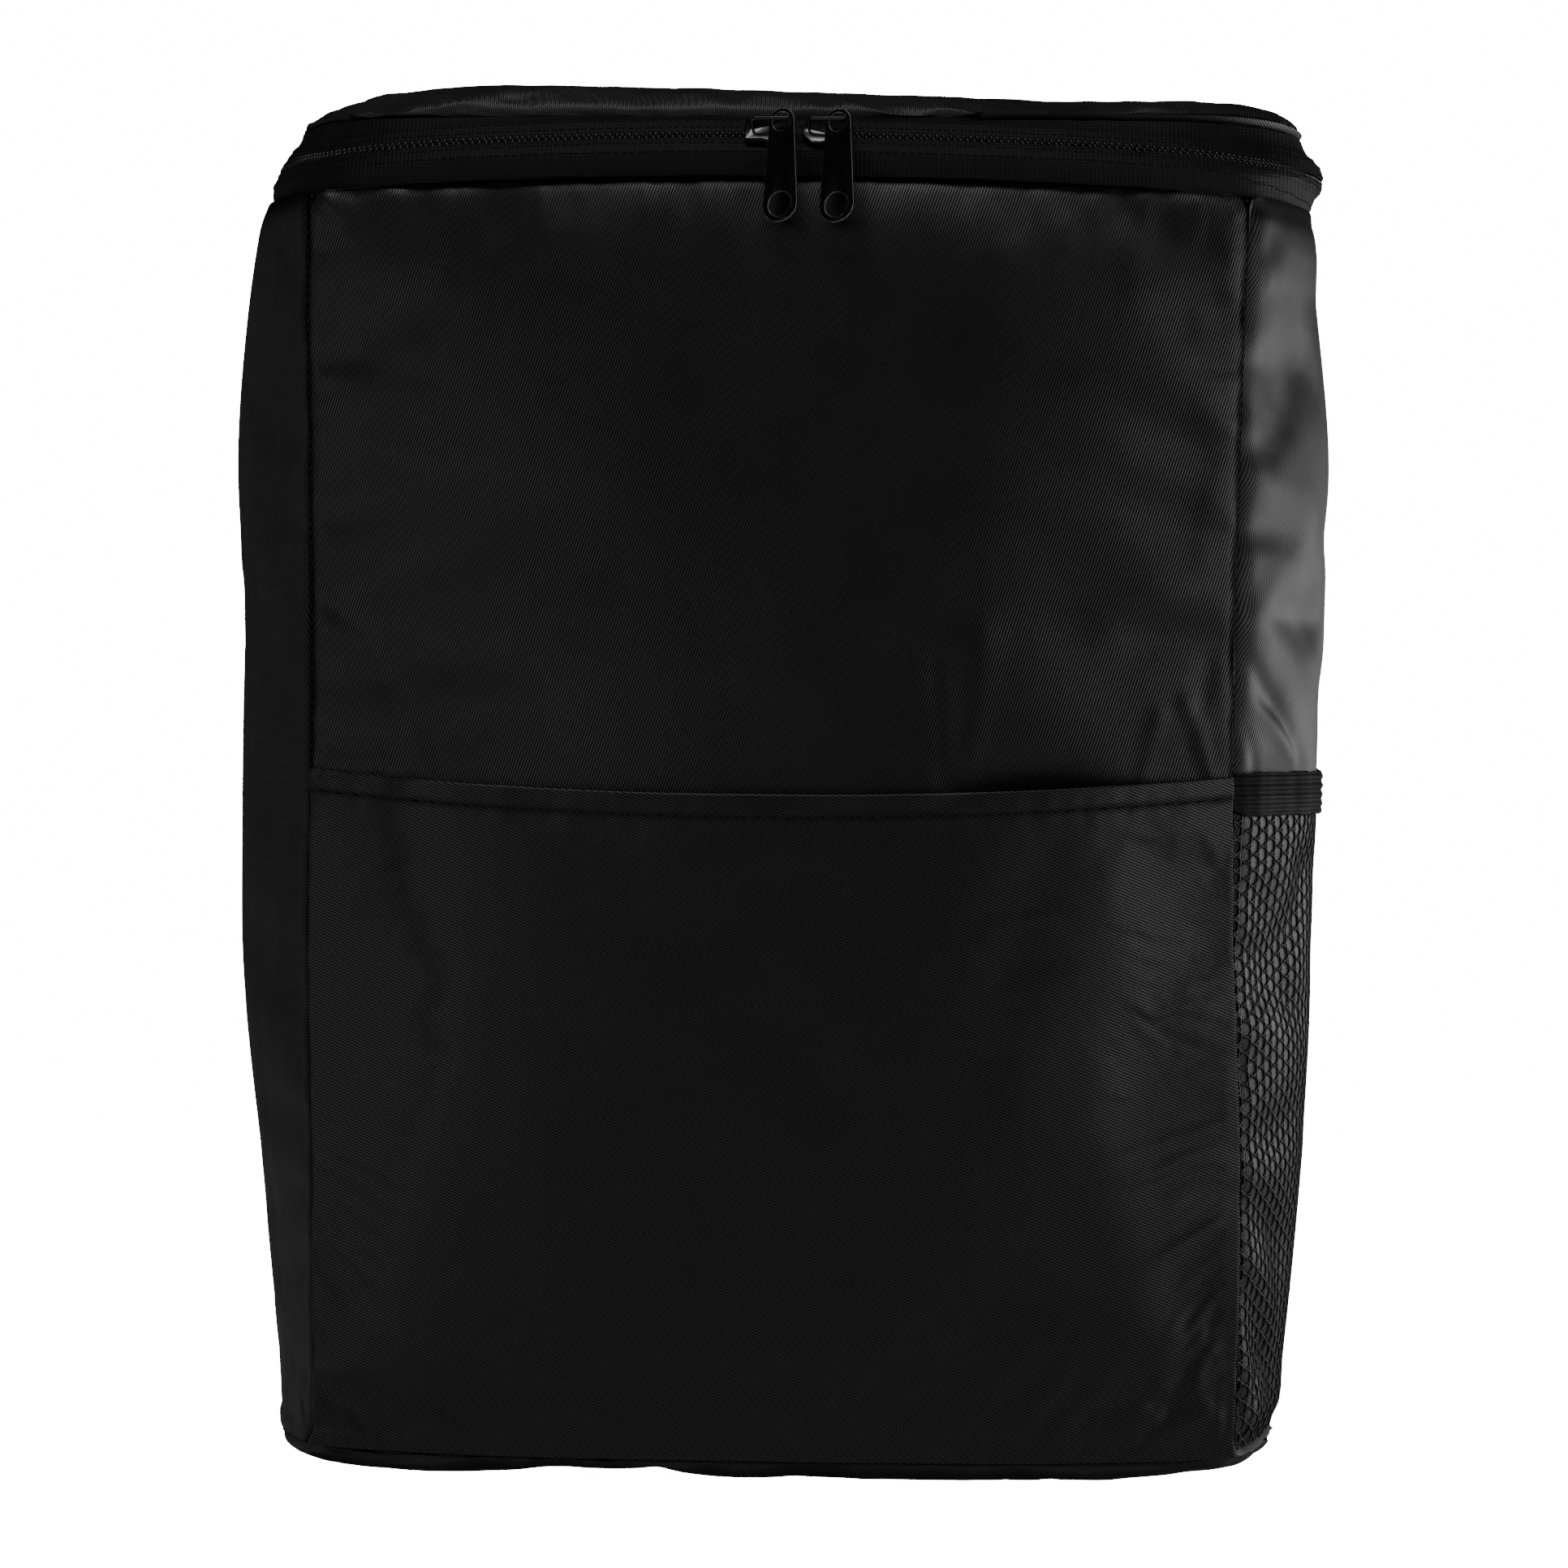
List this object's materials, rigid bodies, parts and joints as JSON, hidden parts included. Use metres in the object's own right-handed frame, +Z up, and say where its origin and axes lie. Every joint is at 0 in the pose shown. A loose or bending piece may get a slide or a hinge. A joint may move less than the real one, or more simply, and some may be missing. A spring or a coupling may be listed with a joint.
{
  "type": "cooler backpack",
  "caption": "Upright padded cooler backpack with a zipped lid, a front patch pocket, a net side pocket, shoulder straps and a grab loop.",
  "frame": {"origin": "on the floor, under the middle of the bag between its seams", "axes": "+Z up, -Y the front with the zip pulls, +X the wearer's side with the net pocket (the right in a front view)"},
  "size_m": [0.323, 0.2335, 0.4],
  "materials": {
    "shell_cloth": "black polyester twill over foam",
    "pocket_cloth": "black polyester twill, cut on another grain",
    "zip_tape": "black woven tape",
    "zip_coil": "black nylon coil",
    "zip_metal": "glossy black enamel on zinc",
    "net": "black knitted net",
    "elastic": "black ribbed elastic",
    "strap_cloth": "black padded cloth",
    "webbing": "black woven webbing",
    "adjuster_plastic": "black moulded plastic"
  },
  "bodies": {
    "bag": {"front_panel": "shell_cloth", "front_pocket": "pocket_cloth", "gusset_left": "shell_cloth", "gusset_right": "shell_cloth", "back_panel": "shell_cloth", "base_panel": "shell_cloth", "lid_panel": "shell_cloth", "zip_tape_lower": "zip_tape", "zip_tape_upper": "zip_tape", "zip_chain_left": "zip_coil", "zip_chain_right": "zip_coil", "zip_slider_left": "zip_metal", "zip_slider_right": "zip_metal", "mesh_pocket": "net", "pocket_elastic": "elastic", "shoulder_strap_left": "strap_cloth", "shoulder_strap_right": "strap_cloth", "strap_webbing_left": "webbing", "strap_webbing_right": "webbing", "strap_adjuster_left": "adjuster_plastic", "strap_adjuster_right": "adjuster_plastic", "grab_loop": "webbing"},
    "pull_left": {"zip_pull_left": "zip_metal"},
    "pull_right": {"zip_pull_right": "zip_metal"}
  },
  "joints": [
    {"name": "pull_left_swing", "type": "hinge", "parent": "bag", "child": "pull_left", "pos_m": [0.0022, -0.09218, 0.38565], "axis": [-1, 0, 0], "range_deg": [0, 120]},
    {"name": "pull_right_swing", "type": "hinge", "parent": "bag", "child": "pull_right", "pos_m": [0.0181, -0.09211, 0.38558], "axis": [-1, 0, 0], "range_deg": [0, 120]}
  ]
}
